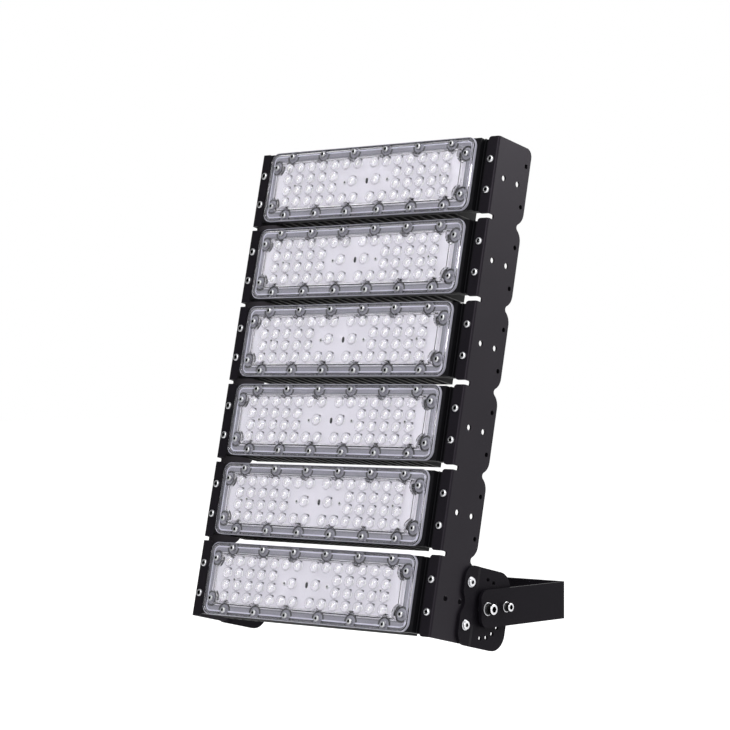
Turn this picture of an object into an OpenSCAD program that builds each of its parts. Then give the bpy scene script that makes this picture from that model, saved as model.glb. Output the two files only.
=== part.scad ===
// Modular floodlight: a column of lens modules between two folded side rails,
// tilting in a flat-bar yoke. Millimetres, +Z up, the lamp faces -Y.
// The origin is the centre of the yoke's rear face.

/* [Lens plate] */
// Width of a lens plate
lens_w = 300; // [270:1:330]
// Height of a lens plate
lens_h = 80; // [76:1:84]
// Corner radius of a lens plate
lens_corner_r = 10; // [5:1:14]
// Height of the lens flange over the heatsink face
lens_flange_h = 4.5; // [4:0.5:7]
// Height of the raised lens field over the flange
field_h = 2.5; // [1.5:0.25:3]
// Wall of the lens plate over the light board
lens_wall = 2; // [1.5:0.25:2.5]
// Width of the flange round the raised field
flange_w = 11; // [9:0.5:12]
// Radius of the clear space round each lens screw
screw_lobe_r = 7.5; // [6:0.5:8.5]
// Distance of the lens screws from the plate's long edges
screw_edge = 5.5; // [4.5:0.5:7]
// Distance of the lens screws from the plate's ends
screw_end = 10.5; // [8:0.5:12]
// Distance between the screws along the plate
screw_pitch_x = 47; // [42:0.5:50]
// Distance between the two screws at each end
screw_pitch_z = 45; // [38:0.5:48]
// Radius of a lens dome at its foot
dome_r = 6; // [4:0.25:6]
// Height of a lens dome over the raised field
dome_h = 3.5; // [1.5:0.25:4]
// Distance between dome columns
dome_pitch_x = 17.4; // [14:0.1:18]
// Distance between dome rows
dome_pitch_z = 13.3; // [12.2:0.1:14]
// Distance of the two single domes from the plate's middle
middle_dome_x = 17.5; // [14:0.5:22]
// Distance of the first dome column from the plate's middle
dome_first_x = 12.4; // [10:0.1:14]

/* [Light board] */
// Thickness of the light board
board_t = 1.6; // [1:0.1:2]
// Gap between the light board and the lens rim round it
board_gap = 2; // [1:0.5:3]

/* [Heatsink] */
// Height of one module's share of the column
module_pitch = 90; // [88:1:110]
// Height of a heatsink
heatsink_h = 79.5; // [74:0.5:84]
// Thickness of the heatsink's base plate
base_t = 10; // [7:0.5:12]
// Ledge of the heatsink's face beyond each end of the lens
face_ledge = 5; // [3:0.5:7]
// Depth of the fins behind the base plate
fin_depth = 33; // [25:1:36]
// Thickness of a fin
fin_t = 3.5; // [2:0.1:5]
// Distance between fins
fin_pitch = 12.8; // [9:0.1:16]
// Clear width of the face beside the fins at its left end
fin_margin = 8; // [8:1:40]
// Clear width of the face at its right end, where the cable gland sits
gland_margin = 28; // [27:1:40]
// Height of the bars that tie the fins along their upper and lower rear edges
tie_h = 3; // [2:0.5:5]
// Depth of those bars
tie_t = 2; // [1:0.5:3]
// Thickness of the flange that the rails clamp
end_flange_t = 6; // [4:0.5:8]
// Width of the shoulder between the face and the flange
shoulder_w = 8; // [5:0.5:10]
// Gap between the shoulder and the rib beside it
rib_gap = 1.6; // [1:0.1:2]
// Width of that rib
rib_w = 1.2; // [0.8:0.1:1.4]
// Height of that rib over the flange
rib_h = 3; // [1:0.5:5]

/* [Cable gland] */
// Width over the flats of the gland's nut
gland_af = 14; // [13:0.5:16]
// Depth of the gland's nut
gland_nut_d = 9; // [6:0.5:11]
// Radius of the gland's round cap
gland_cap_r = 6; // [5:0.25:6.5]
// Depth of the gland's round cap behind its nut
gland_cap_d = 5.5; // [3:0.5:8]
// Radius of the gland's cable entry
gland_bore_r = 3.5; // [2:0.25:4.5]

/* [Side rails] */
// Sheet thickness of the rails
rail_t = 2; // [1.5:0.5:4]
// Depth of a rail behind the front of its tabs
rail_depth = 57.5; // [54:0.5:64]
// Width of the front tabs
tab_w = 14.3; // [13:0.1:18]
// Gap between a lens plate and the tab beside it
tab_gap = 10.7; // [9:0.1:14]
// How far the lens flange stands proud of the tabs
lens_proud = 10; // [8:0.5:11]
// Width of the slots between tabs
slot_w = 5; // [3:0.5:8]
// How far the slots run back round the fold
slot_run = 8.5; // [6:0.5:10]
// Corner radius of the slots' closed ends
slot_end_r = 1.2; // [0.5:0.1:1.4]
// Inner radius of the fold
fold_inner_r = 0.5; // [0.5:0.5:3]
// Radius of the tabs' free corners
tab_corner_r = 3.5; // [1:0.5:6]
// Radius of the rear corners at the rail's two ends
rail_corner_r = 9; // [4:1:14]
// Depth of the scallops in the rear edge
scallop_depth = 9; // [6:0.5:10]
// Inner radius of a scallop
scallop_r = 4; // [3:0.5:8]
// Radius of the shoulders beside a scallop
shoulder_r = 15; // [6:0.5:18]
// Radius of the two open holes at each module
web_hole_r = 3.2; // [2:0.1:4]
// Distance of the first open hole behind the tabs
web_hole_1_y = 16.5; // [12:0.5:22]
// Distance of the second open hole behind the tabs
web_hole_2_y = 40.5; // [34:0.5:44]
// Radius of the threaded inserts' bore
insert_bore_r = 2.6; // [2:0.1:3]
// Outer radius of the threaded inserts
insert_r = 4.5; // [4:0.1:5]
// Depth of a threaded insert behind the web
insert_d = 9; // [7:0.5:12]
// Thickness of an insert's closed end
insert_end_t = 2; // [1:0.5:3]
// Distance of the inserts from the rail's rear edge
insert_edge = 7; // [6.5:0.25:9]
// Distance between a module's two inserts
insert_pitch = 45; // [36:1:50]

/* [Pivot plates] */
// Thickness of the pivot plates
plate_t = 3; // [2:0.5:4]
// Height of a pivot plate
plate_h = 84; // [82:1:92]
// Distance of the pivot behind the front of the tabs
pivot_y = 78; // [77:0.5:90]
// Distance of the pivot below the middle of the lowest module
pivot_drop = 1.5; // [0:0.5:3]
// Distance of the plate's rear edge behind the pivot
plate_rear = 41; // [39:0.5:46]
// Radius of the plate's rear corners
rear_corner_r = 20; // [12:1:30]
// Distance of the plate's front edge ahead of its bolts
plate_front = 10; // [8:0.5:12]
// Radius of the plate's front corners
plate_corner_r = 14; // [8:1:16]
// Depth of the waist in the plate's front edge
waist_depth = 4.5; // [3:0.5:6]
// Radius of the waist and of the shoulders beside it
waist_r = 12; // [8:1:14]
// Inward step of the plate's rear part
step_in = 1; // [0.5:0.25:1.5]
// Length of the sloping stretch of that step
step_run = 5; // [3:0.5:6]
// Gap between the rail's rear edge and the step
step_gap = 2.5; // [1:0.5:3]
// Radius of the circle of index holes about the pivot
index_r = 31; // [28:0.5:34]
// Radius of an index hole
index_hole_r = 2.6; // [2:0.1:3.2]
// Angle of the last index hole from the plate's middle
index_last = 88; // [80:1:88]

/* [Yoke] */
// Angle that the head leans back at rest
rest_tilt = 12.6; // [5:0.1:20]
// Height of the yoke's flat bar
bar_h = 40; // [36:1:40]
// Thickness of the yoke's flat bar
bar_t = 4; // [3:0.5:6]
// Distance from the yoke's rear face to the pivot
yoke_reach = 137; // [125:1:180]
// Length of the arm in front of the pivot
arm_nose = 10; // [9:0.5:19]
// Radius of the two corners of the arm's front end
nose_corner_r = 10; // [4:0.5:15]
// Outer radius of the yoke's two bends
yoke_bend_r = 7; // [6.5:0.5:12]
// Gap between an arm and the front part of the pivot plate
arm_gap = 0.5; // [0.3:0.1:1.5]
// Radius of the centre mounting hole
centre_hole_r = 6.5; // [4:0.5:9]
// Radius of the two side mounting holes
side_hole_r = 5; // [3:0.5:7]
// Distance between the two side mounting holes
side_hole_pitch = 120; // [80:5:200]

/* [Bolts] */
// Radius of the pivot bolts' shank
pivot_bolt_r = 4; // [3:0.5:5]
// Running clearance of the pivot bolts in the plates
pivot_clear = 0.05; // [0.02:0.01:0.1]
// Radius of the pivot bolts' head
pivot_head_r = 6.5; // [6:0.5:8]
// Height of the pivot bolts' head
pivot_head_h = 8; // [5:0.5:10]
// Width over the flats of the pivot bolts' nuts
pivot_nut_af = 13; // [12:0.5:16]
// Height of the pivot bolts' nuts
pivot_nut_h = 6.5; // [5:0.5:8]
// Radius of the washers under the pivot bolts' heads
pivot_washer_r = 8; // [8:0.5:10]
// Radius of the lock bolts' shank
lock_bolt_r = 2.5; // [2:0.25:3]
// Radius of the lock bolts' head
lock_head_r = 5; // [4:0.5:6]
// Height of the lock bolts' head
lock_head_h = 6; // [4:0.5:8]
// Radius of the washers under the lock bolts' heads
lock_washer_r = 6; // [6:0.5:7]
// Radius of the plate bolts' shank
plate_bolt_r = 2.5; // [2:0.1:2.5]
// Radius of the plate bolts' head
plate_head_r = 4.5; // [3.5:0.5:5]
// Height of the plate bolts' head
plate_head_h = 3; // [2:0.5:4]
// Radius of the washers under the plate bolts' heads
plate_washer_r = 5.5; // [5:0.5:6]
// Thickness of all bolt washers
washer_t = 1.2; // [0.8:0.1:1.6]
// Clearance of a bolt in a plain hole
bolt_clear = 0.25; // [0.1:0.05:0.5]
// Radius of the spacers between the arms and the plates
spacer_r = 9; // [8:0.5:10]
// Running clearance of the spacers and nuts beside the plates
spacer_clear = 0.3; // [0.2:0.05:0.5]

/* [Hidden] */
$fn = 48;
// Modules in the column, counted from the top, with the pivot behind the last
module_count = 6;
// Overlap that keeps a cut clear of the faces it passes through
cut = 1;
// Width of a bolt head's hexagon socket as a share of the head
socket_share = 0.55;

// Depths behind the front of the tabs
lens_front_y = -lens_proud;
field_front_y = lens_front_y - field_h;
face_y = lens_front_y + lens_flange_h;
fin_root_y = face_y + base_t;
fin_tip_y = fin_root_y + fin_depth;
shoulder_back_y = rail_t + end_flange_t;
insert_y = rail_depth - insert_edge;
insert_bore_d = rail_t + insert_d - insert_end_t + cut;

// Widths from the middle of the lamp
fold_r = rail_t + fold_inner_r;
tab_inner_x = lens_w / 2 + tab_gap;
rail_x = tab_inner_x + tab_w;
web_inner_x = rail_x - rail_t;
face_half_w = lens_w / 2 + face_ledge;
flange_half_w = rail_x - fold_r;
fin_field_w = 2 * face_half_w - fin_margin - gland_margin;
fin_count = floor((fin_field_w - fin_t) / fin_pitch) + 1;
fin_array_w = (fin_count - 1) * fin_pitch + fin_t;
fin_first_x = fin_margin - face_half_w + (fin_field_w - fin_array_w) / 2;
gland_x = face_half_w - (gland_margin + shoulder_w) / 2;
plate_out_x = rail_x + plate_t;
plate_rear_x = plate_out_x - step_in;
arm_in_x = plate_out_x + arm_gap;
arm_out_x = arm_in_x + bar_t;

// Heights from the middle of the lowest module
tab_h = module_pitch - slot_w;
column_h = (module_count - 1) * module_pitch;
rail_top = column_h + tab_h / 2;
rail_bottom = -tab_h / 2;

// Steps of the index holes, mirrored about the plate's middle
index_holes_a_side = 5;
index_step = (index_last - rest_tilt) / (index_holes_a_side - 1);
pivot_hole_r = pivot_bolt_r + pivot_clear;

// Places of the domes: outer rows run full length, inner rows leave the middle free
dome_columns = 7;
dome_inner_first = 2;
dome_rows = [-1.5, -0.5, 0.5, 1.5];
dome_places = [
    for (row = dome_rows)
        for (column = [(abs(row) > 1 ? 0 : dome_inner_first) : dome_columns - 1])
            for (side = [-1, 1])
                [side * (dome_first_x + column * dome_pitch_x), row * dome_pitch_z],
    for (side = [-1, 1]) [side * middle_dome_x, 0]
];

// Places of the lens screws: two rows along the plate and a pair at each end
screw_places = [
    for (k = [-2.5 : 1 : 2.5])
        for (side = [-1, 1])
            [k * screw_pitch_x, side * (lens_h / 2 - screw_edge)],
    for (k = [-0.5, 0.5])
        for (side = [-1, 1])
            [side * (lens_w / 2 - screw_end), k * screw_pitch_z]
];

function module_z(number) = (module_count - number) * module_pitch;

// Puts a shape drawn about the pivot, depths along Y, into the leaning head
module in_head() {
    translate([0, -yoke_reach, 0])
        rotate([-rest_tilt, 0, 0])
            translate([0, -pivot_y, pivot_drop])
                children();
}

// Mirrors a shape drawn on the right to the side asked for
module on_side(side) {
    mirror([side < 0 ? 1 : 0, 0, 0])
        children();
}

// Extrudes a drawing in X and Z forward from the depth given
module plate_in_xz(back_y, thickness) {
    translate([0, back_y, 0])
        rotate([90, 0, 0])
            linear_extrude(thickness)
                children();
}

// Extrudes a drawing in Y and Z outward from the width given
module sheet_in_yz(inner_x, thickness) {
    translate([inner_x, 0, 0])
        rotate([90, 0, 90])
            linear_extrude(thickness)
                children();
}

// Cylinder along X that starts at the width given
module peg_x(inner_x, length, radius) {
    translate([inner_x, 0, 0])
        rotate([0, 90, 0])
            cylinder(h = length, r = radius);
}

module rounded_rectangle(width, height, radius) {
    square([width - 2 * radius, height], center = true);
    square([width, height - 2 * radius], center = true);
    for (sx = [-1, 1])
        for (sy = [-1, 1])
            translate([sx * (width / 2 - radius), sy * (height / 2 - radius)])
                circle(radius);
}

// Cut for a scallop in a straight edge at x = 0 whose material lies at x < 0.
// The hollow and its two shoulders are arcs that meet in one tangent.
module scallop(depth, hollow_r, side_r) {
    hollow_x = hollow_r - depth;
    rise = hollow_x + side_r;
    reach = sqrt(pow(hollow_r + side_r, 2) - rise * rise);
    meet_x = -side_r + rise * side_r / (hollow_r + side_r);
    translate([hollow_x, 0])
        circle(hollow_r);
    difference() {
        translate([meet_x, -reach])
            square([cut - meet_x, 2 * reach]);
        for (side = [-1, 1])
            translate([-side_r, side * reach])
                circle(side_r);
    }
}

// Cut that rounds the corner at the origin of material at x < 0, y < 0
module corner_cut(radius) {
    difference() {
        translate([-radius, -radius])
            square([radius + cut, radius + cut]);
        translate([-radius, -radius])
            circle(radius);
    }
}

// Block from the origin back and outward, with its outer front corner rounded
module folded_block(width, depth, radius) {
    difference() {
        square([width, depth]);
        translate([width, 0])
            mirror([0, 1])
                corner_cut(radius);
    }
}

// Section of a rail in X and Y: front tab, fold and web
module rail_section() {
    difference() {
        translate([tab_inner_x, 0])
            folded_block(tab_w, rail_depth, fold_r);
        translate([tab_inner_x - cut, rail_t])
            folded_block(tab_w - rail_t + cut, rail_depth, fold_r - rail_t);
    }
}

// Rear edge of a rail: scallops between modules and round ends, in Y and Z
module rail_edge_cuts() {
    for (number = [1 : module_count - 1])
        translate([rail_depth, module_z(number) - module_pitch / 2])
            scallop(scallop_depth, scallop_r, shoulder_r);
    translate([rail_depth, rail_top])
        corner_cut(rail_corner_r);
    translate([rail_depth, rail_bottom])
        mirror([0, 1])
            corner_cut(rail_corner_r);
}

module rail_slots() {
    for (number = [1 : module_count - 1])
        translate([0, 0, module_z(number) - module_pitch / 2])
            sheet_in_yz(tab_inner_x - cut, tab_w + 2 * cut)
                rounded_rectangle(2 * slot_run, slot_w, slot_end_r);
}

module tab_corner_cuts() {
    for (number = [1 : module_count])
        for (side = [-1, 1])
            translate([tab_inner_x, rail_t + cut, module_z(number) + side * tab_h / 2])
                mirror([0, 0, side < 0 ? 1 : 0])
                    rotate([90, 0, 0])
                        linear_extrude(rail_t + 2 * cut)
                            mirror([1, 0])
                                corner_cut(tab_corner_r);
}

module rail(side) {
    color("#2a2a2d")
        in_head()
            on_side(side)
                difference() {
                    union() {
                        translate([0, 0, rail_bottom])
                            linear_extrude(rail_top - rail_bottom)
                                rail_section();
                        insert_places()
                            peg_x(web_inner_x - insert_d, insert_d + rail_t / 2, insert_r);
                    }
                    sheet_in_yz(web_inner_x - cut, rail_t + 2 * cut)
                        rail_edge_cuts();
                    rail_slots();
                    tab_corner_cuts();
                    for (number = [1 : module_count])
                        for (y = [web_hole_1_y, web_hole_2_y])
                            translate([0, y, module_z(number)])
                                peg_x(web_inner_x - cut, rail_t + 2 * cut, web_hole_r);
                    insert_places()
                        peg_x(rail_x + cut - insert_bore_d, insert_bore_d, insert_bore_r);
                }
}

// Repeats a shape at both closed inserts of every module
module insert_places() {
    for (number = [1 : module_count])
        for (side = [-0.5, 0.5])
            translate([0, insert_y, module_z(number) + side * insert_pitch])
                children();
}

// Section of a heatsink in X and Y: face plate, end shoulders with the flanges that
// the rails clamp, a rib beside each shoulder, and fins that leave the right end free
module heatsink_section() {
    translate([-face_half_w, face_y])
        square([2 * face_half_w, base_t]);
    for (side = [-1, 1])
        mirror([side < 0 ? 1 : 0, 0]) {
            translate([face_half_w - shoulder_w, face_y])
                square([shoulder_w, shoulder_back_y - face_y]);
            translate([face_half_w - shoulder_w, rail_t])
                square([flange_half_w - face_half_w + shoulder_w, end_flange_t]);
            translate([face_half_w + rib_gap, rail_t - rib_h])
                square([rib_w, rib_h + end_flange_t / 2]);
        }
    for (k = [0 : fin_count - 1])
        translate([fin_first_x + k * fin_pitch, fin_root_y - cut])
            square([fin_t, fin_depth + cut]);
}

module heatsink(number) {
    color("#1c1c1f")
        in_head()
            translate([0, 0, module_z(number) - heatsink_h / 2]) {
                linear_extrude(heatsink_h)
                    heatsink_section();
                for (z = [0, heatsink_h - tie_h])
                    translate([fin_first_x, fin_tip_y - tie_t, z])
                        cube([fin_array_w, tie_t, tie_h]);
            }
}

module cable_gland(number) {
    color("#18181a")
        in_head()
            translate([gland_x, fin_root_y, module_z(number)])
                rotate([-90, 0, 0])
                    difference() {
                        union() {
                            cylinder(h = gland_nut_d, r = gland_af / sqrt(3), $fn = 6);
                            cylinder(h = gland_nut_d + gland_cap_d, r = gland_cap_r);
                        }
                        translate([0, 0, gland_nut_d / 2])
                            cylinder(h = gland_nut_d + gland_cap_d, r = gland_bore_r);
                    }
}

// Outline of the space under the lens that holds the light board
module lens_field(inset) {
    difference() {
        rounded_rectangle(
            lens_w - 2 * (flange_w + inset), lens_h - 2 * (flange_w + inset), lens_corner_r / 2
        );
        for (place = screw_places)
            translate(place)
                circle(screw_lobe_r + inset);
    }
}

module light_board(number) {
    color("#f4f4f2")
        in_head()
            translate([0, 0, module_z(number)])
                plate_in_xz(face_y, board_t)
                    lens_field(lens_wall + board_gap);
}

// One lens dome: a cap of a sphere that stands on the plane y = 0 towards -Y
module dome() {
    ball_r = (dome_r * dome_r + dome_h * dome_h) / (2 * dome_h);
    rotate([90, 0, 0])
        rotate_extrude()
            intersection() {
                translate([0, dome_h - ball_r])
                    circle(ball_r);
                translate([0, -lens_wall / 2])
                    square([dome_r, dome_h + lens_wall]);
            }
}

module lens(number) {
    color([0.86, 0.87, 0.91, 0.6])
        in_head()
            translate([0, 0, module_z(number)]) {
                difference() {
                    union() {
                        plate_in_xz(face_y, lens_flange_h)
                            rounded_rectangle(lens_w, lens_h, lens_corner_r);
                        plate_in_xz(face_y, lens_flange_h + field_h)
                            lens_field(0);
                    }
                    plate_in_xz(face_y + cut, lens_flange_h + field_h - lens_wall + cut)
                        lens_field(lens_wall);
                }
                for (place = dome_places)
                    translate([place[0], field_front_y, place[1]])
                        dome();
            }
}

// Section of a pivot plate in X and Y: front part on the rail, step and rear part
module plate_section() {
    step_y = rail_depth + step_gap;
    rear_y = pivot_y + plate_rear;
    polygon([
        [rail_x, 0],
        [plate_out_x, 0],
        [plate_out_x, step_y],
        [plate_rear_x, step_y + step_run],
        [plate_rear_x, rear_y],
        [rail_x - step_in, rear_y],
        [rail_x - step_in, step_y + step_run],
        [rail_x, step_y]
    ]);
}

// Outline of a pivot plate in Y and Z
module plate_outline() {
    front_y = insert_y - plate_front;
    length = pivot_y + plate_rear - front_y;
    difference() {
        translate([front_y, -pivot_drop - plate_h / 2])
            square([length, plate_h]);
        translate([front_y, 0])
            mirror([1, 0])
                scallop(waist_depth, waist_r, waist_r);
        for (side = [-1, 1])
            translate([front_y, side * plate_h / 2 - pivot_drop])
                mirror([0, side < 0 ? 1 : 0]) {
                    mirror([1, 0])
                        corner_cut(plate_corner_r);
                    translate([length, 0])
                        corner_cut(rear_corner_r);
                }
    }
}

module pivot_plate(side) {
    color("#29292c")
        in_head()
            on_side(side)
                difference() {
                    intersection() {
                        translate([0, 0, -plate_h])
                            linear_extrude(2 * plate_h)
                                plate_section();
                        sheet_in_yz(rail_x - plate_t, 3 * plate_t)
                            plate_outline();
                    }
                    plate_bolt_places()
                        peg_x(rail_x - cut, plate_t + 2 * cut, plate_bolt_r + bolt_clear);
                    translate([0, pivot_y, -pivot_drop]) {
                        peg_x(rail_x - plate_t, 3 * plate_t, pivot_hole_r);
                        for (half = [-1, 1])
                            for (k = [0 : index_holes_a_side - 1])
                                rotate([half * (rest_tilt + k * index_step), 0, 0])
                                    translate([0, index_r, 0])
                                        peg_x(rail_x - plate_t, 3 * plate_t, index_hole_r);
                    }
                }
}

// Repeats a shape at the two bolts of a pivot plate
module plate_bolt_places() {
    for (side = [-0.5, 0.5])
        translate([0, insert_y, side * insert_pitch])
            children();
}

// Socket-head bolt along X with its washer, head outward, seated at the width given
module bolt(seat_x, length, shank_r, head_r, head_h, washer_r) {
    socket_r = head_r * socket_share;
    difference() {
        union() {
            peg_x(seat_x - length, length + washer_t, shank_r);
            peg_x(seat_x, washer_t, washer_r);
            peg_x(seat_x + washer_t, head_h, head_r);
        }
        translate([seat_x + washer_t + head_h / 2, 0, 0])
            rotate([0, 90, 0])
                cylinder(h = head_h, r = socket_r, $fn = 6);
    }
}

module plate_bolts(side) {
    grip = plate_t + rail_t;
    color("#c9cacd")
        in_head()
            on_side(side)
                plate_bolt_places()
                    bolt(
                        plate_out_x, grip, plate_bolt_r, plate_head_r, plate_head_h, plate_washer_r
                    );
}

// Outline of the yoke in X and Y: a bar bent twice
module yoke_section() {
    difference() {
        yoke_outline(arm_out_x, 0, yoke_bend_r);
        translate([0, -cut])
            yoke_outline(arm_in_x, bar_t - cut, yoke_bend_r - bar_t);
    }
}

// Rectangle from the arms' noses back to the rear face, with two round rear corners
module yoke_outline(half_w, back, bend_r) {
    front_y = -yoke_reach - arm_nose;
    difference() {
        translate([-half_w, front_y])
            square([2 * half_w, -front_y - back]);
        for (side = [-1, 1])
            translate([side * half_w, -back])
                mirror([side < 0 ? 1 : 0, 0])
                    corner_cut(bend_r);
    }
}

// Arms' side view in Y and Z, with round front corners
module arm_outline() {
    nose_y = -yoke_reach - arm_nose;
    difference() {
        translate([nose_y, -bar_h / 2])
            square([cut - nose_y, bar_h]);
        for (side = [-1, 1])
            translate([nose_y, side * bar_h / 2])
                mirror([0, side < 0 ? 1 : 0])
                    mirror([1, 0])
                        corner_cut(nose_corner_r);
    }
}

module yoke() {
    color("#232326")
        difference() {
            intersection() {
                translate([0, 0, -bar_h])
                    linear_extrude(2 * bar_h)
                        yoke_section();
                sheet_in_yz(-arm_out_x - cut, 2 * arm_out_x + 2 * cut)
                    arm_outline();
            }
            for (side = [-1, 1])
                on_side(side) {
                    translate([0, -yoke_reach, 0])
                        peg_x(arm_in_x - cut, bar_t + 2 * cut, pivot_bolt_r + bolt_clear);
                    translate([0, -yoke_reach + index_r, 0])
                        peg_x(arm_in_x - cut, bar_t + 2 * cut, lock_bolt_r + bolt_clear);
                    translate([side_hole_pitch / 2, cut, 0])
                        rotate([90, 0, 0])
                            cylinder(h = bar_t + 2 * cut, r = side_hole_r);
                }
            translate([0, cut, 0])
                rotate([90, 0, 0])
                    cylinder(h = bar_t + 2 * cut, r = centre_hole_r);
        }
}

// Pivot bolt with its nut behind the plate
module pivot_bolt(side) {
    nut_x = rail_x - step_in - spacer_clear;
    color("#c9cacd")
        translate([0, -yoke_reach, 0])
            on_side(side) {
                bolt(
                    arm_out_x, arm_out_x - nut_x + pivot_nut_h, pivot_bolt_r,
                    pivot_head_r, pivot_head_h, pivot_washer_r
                );
                translate([nut_x - pivot_nut_h, 0, 0])
                    rotate([0, 90, 0])
                        cylinder(h = pivot_nut_h, r = pivot_nut_af / sqrt(3), $fn = 6);
            }
}

// Lock bolt, drawn back so that its tip is level with the arm's inner face
module lock_bolt(side) {
    color("#c9cacd")
        translate([0, -yoke_reach + index_r, 0])
            on_side(side)
                bolt(arm_out_x, bar_t, lock_bolt_r, lock_head_r, lock_head_h, lock_washer_r);
}

// Spacer ring on the pivot bolt between the arm and the plate's rear part
module pivot_spacer(side) {
    spacer_x = plate_rear_x + spacer_clear;
    spacer_t = arm_in_x - spacer_x;
    color("#1b1b1d")
        translate([0, -yoke_reach, 0])
            on_side(side)
                difference() {
                    peg_x(spacer_x, spacer_t, spacer_r);
                    peg_x(spacer_x - cut, spacer_t + 2 * cut, pivot_bolt_r + bolt_clear);
                }
}

rail(-1);  // left_rail
rail(1);  // right_rail
heatsink(1);  // heatsink_1
heatsink(2);  // heatsink_2
heatsink(3);  // heatsink_3
heatsink(4);  // heatsink_4
heatsink(5);  // heatsink_5
heatsink(6);  // heatsink_6
light_board(1);  // light_board_1
light_board(2);  // light_board_2
light_board(3);  // light_board_3
light_board(4);  // light_board_4
light_board(5);  // light_board_5
light_board(6);  // light_board_6
lens(1);  // lens_1
lens(2);  // lens_2
lens(3);  // lens_3
lens(4);  // lens_4
lens(5);  // lens_5
lens(6);  // lens_6
cable_gland(1);  // cable_gland_1
cable_gland(2);  // cable_gland_2
cable_gland(3);  // cable_gland_3
cable_gland(4);  // cable_gland_4
cable_gland(5);  // cable_gland_5
cable_gland(6);  // cable_gland_6
pivot_plate(-1);  // left_pivot_plate
pivot_plate(1);  // right_pivot_plate
plate_bolts(-1);  // left_plate_bolts
plate_bolts(1);  // right_plate_bolts
yoke();
pivot_bolt(-1);  // left_pivot_bolt
pivot_bolt(1);  // right_pivot_bolt
lock_bolt(-1);  // left_lock_bolt
lock_bolt(1);  // right_lock_bolt
pivot_spacer(-1);  // left_pivot_spacer
pivot_spacer(1);  // right_pivot_spacer
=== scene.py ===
"""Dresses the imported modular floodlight.

Six clear lens plates over white light boards stand between two folded side rails that
tilt in a flat-bar yoke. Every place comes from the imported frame, and the sizes below
are millimetres unless a name says otherwise.
"""
import logging
import math
from dataclasses import dataclass, field, replace
from enum import Enum
from functools import cache

import bpy
import numpy as np
from mathutils import Matrix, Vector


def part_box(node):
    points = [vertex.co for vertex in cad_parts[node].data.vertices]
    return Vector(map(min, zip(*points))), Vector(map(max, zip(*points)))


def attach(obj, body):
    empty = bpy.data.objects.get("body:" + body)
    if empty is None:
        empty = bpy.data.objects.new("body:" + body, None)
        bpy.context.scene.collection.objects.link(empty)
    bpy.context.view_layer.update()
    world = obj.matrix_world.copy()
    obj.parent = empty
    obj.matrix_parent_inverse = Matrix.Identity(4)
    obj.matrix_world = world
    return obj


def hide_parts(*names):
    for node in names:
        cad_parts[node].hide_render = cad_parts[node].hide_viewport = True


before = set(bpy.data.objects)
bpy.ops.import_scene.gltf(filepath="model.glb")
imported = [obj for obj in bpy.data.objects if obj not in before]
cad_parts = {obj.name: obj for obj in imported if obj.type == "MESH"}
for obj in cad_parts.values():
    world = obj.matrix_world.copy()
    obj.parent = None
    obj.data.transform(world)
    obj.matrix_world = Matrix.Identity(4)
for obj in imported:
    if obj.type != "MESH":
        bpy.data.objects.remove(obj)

Array = np.ndarray
Pair, Triple = tuple[float, float], tuple[float, float, float]
Material, Socket, Tree = bpy.types.Material, bpy.types.NodeSocket, bpy.types.NodeTree

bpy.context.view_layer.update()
MM = 0.001
HEAD, YOKE = "head", "yoke"
MODULES = range(1, 7)

logging.basicConfig(level=logging.INFO, format="%(levelname)s %(message)s")
log = logging.getLogger("floodlight")


class Side(Enum):
    """The lamp's two sides, with the sign of their X."""

    LEFT = -1
    RIGHT = 1

    @property
    def label(self) -> str:
        """The side's name as the CAD nodes spell it."""
        return self.name.lower()


@dataclass
class Surface:
    """Points with the quads and triangles that join them.

    Args:
        points: Array of shape (n, 3).
        quads: Array of shape (m, 4).
        tris: Array of shape (k, 3).
        shade_and_tone: Array of shape (n,), from 0 for none to 1 for the darkest, painted shade for the most part
            and plain darker tones on the seal and the bolt sides, or nothing.
    """

    points: Array
    quads: Array
    tris: Array = field(default_factory=lambda: np.zeros((0, 3), int))
    shade_and_tone: Array = field(default_factory=lambda: np.zeros(0))

    def __post_init__(self) -> None:
        """Takes a surface without shade_and_tone values as one with none anywhere."""
        if len(self.shade_and_tone) != len(self.points):
            self.shade_and_tone = np.zeros(len(self.points))

    def copies(self, places: Array) -> "Surface":
        """Repeats the surface, point + place, once at every place.

        Args:
            places: Array of shape (c, 3).

        Returns:
            One surface that holds all the copies.
        """
        step = len(self.points) * np.arange(len(places))[:, None, None]
        return Surface(
            (places[:, None, :] + self.points[None]).reshape(-1, 3),
            (self.quads[None] + step).reshape(-1, 4),
            (self.tris[None] + step).reshape(-1, 3),
            np.tile(self.shade_and_tone, len(places)),
        )

    def outward(self) -> "Surface":
        """Turns the faces outwards by the sign of the enclosed volume, the sum of a·(b×c)/6."""
        fans = np.concatenate([self.quads[:, [0, 1, 2]], self.quads[:, [0, 2, 3]], self.tris])
        a, b, c = (self.points[fans[:, k]] for k in range(3))
        if np.einsum("ij,ij->i", a, np.cross(b, c)).sum() < 0:
            return Surface(self.points, self.quads[:, ::-1], self.tris[:, ::-1], self.shade_and_tone)
        return self


def joined(parts: list[Surface]) -> Surface:
    """Puts several surfaces into one.

    Args:
        parts: The surfaces, each in the same axes.

    Returns:
        One surface with all their points and faces.
    """
    starts = np.cumsum([0] + [len(part.points) for part in parts[:-1]])
    return Surface(
        np.concatenate([part.points for part in parts]),
        np.concatenate([part.quads + start for part, start in zip(parts, starts)]),
        np.concatenate([part.tris + start for part, start in zip(parts, starts)]),
        np.concatenate([part.shade_and_tone for part in parts]),
    )


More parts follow.
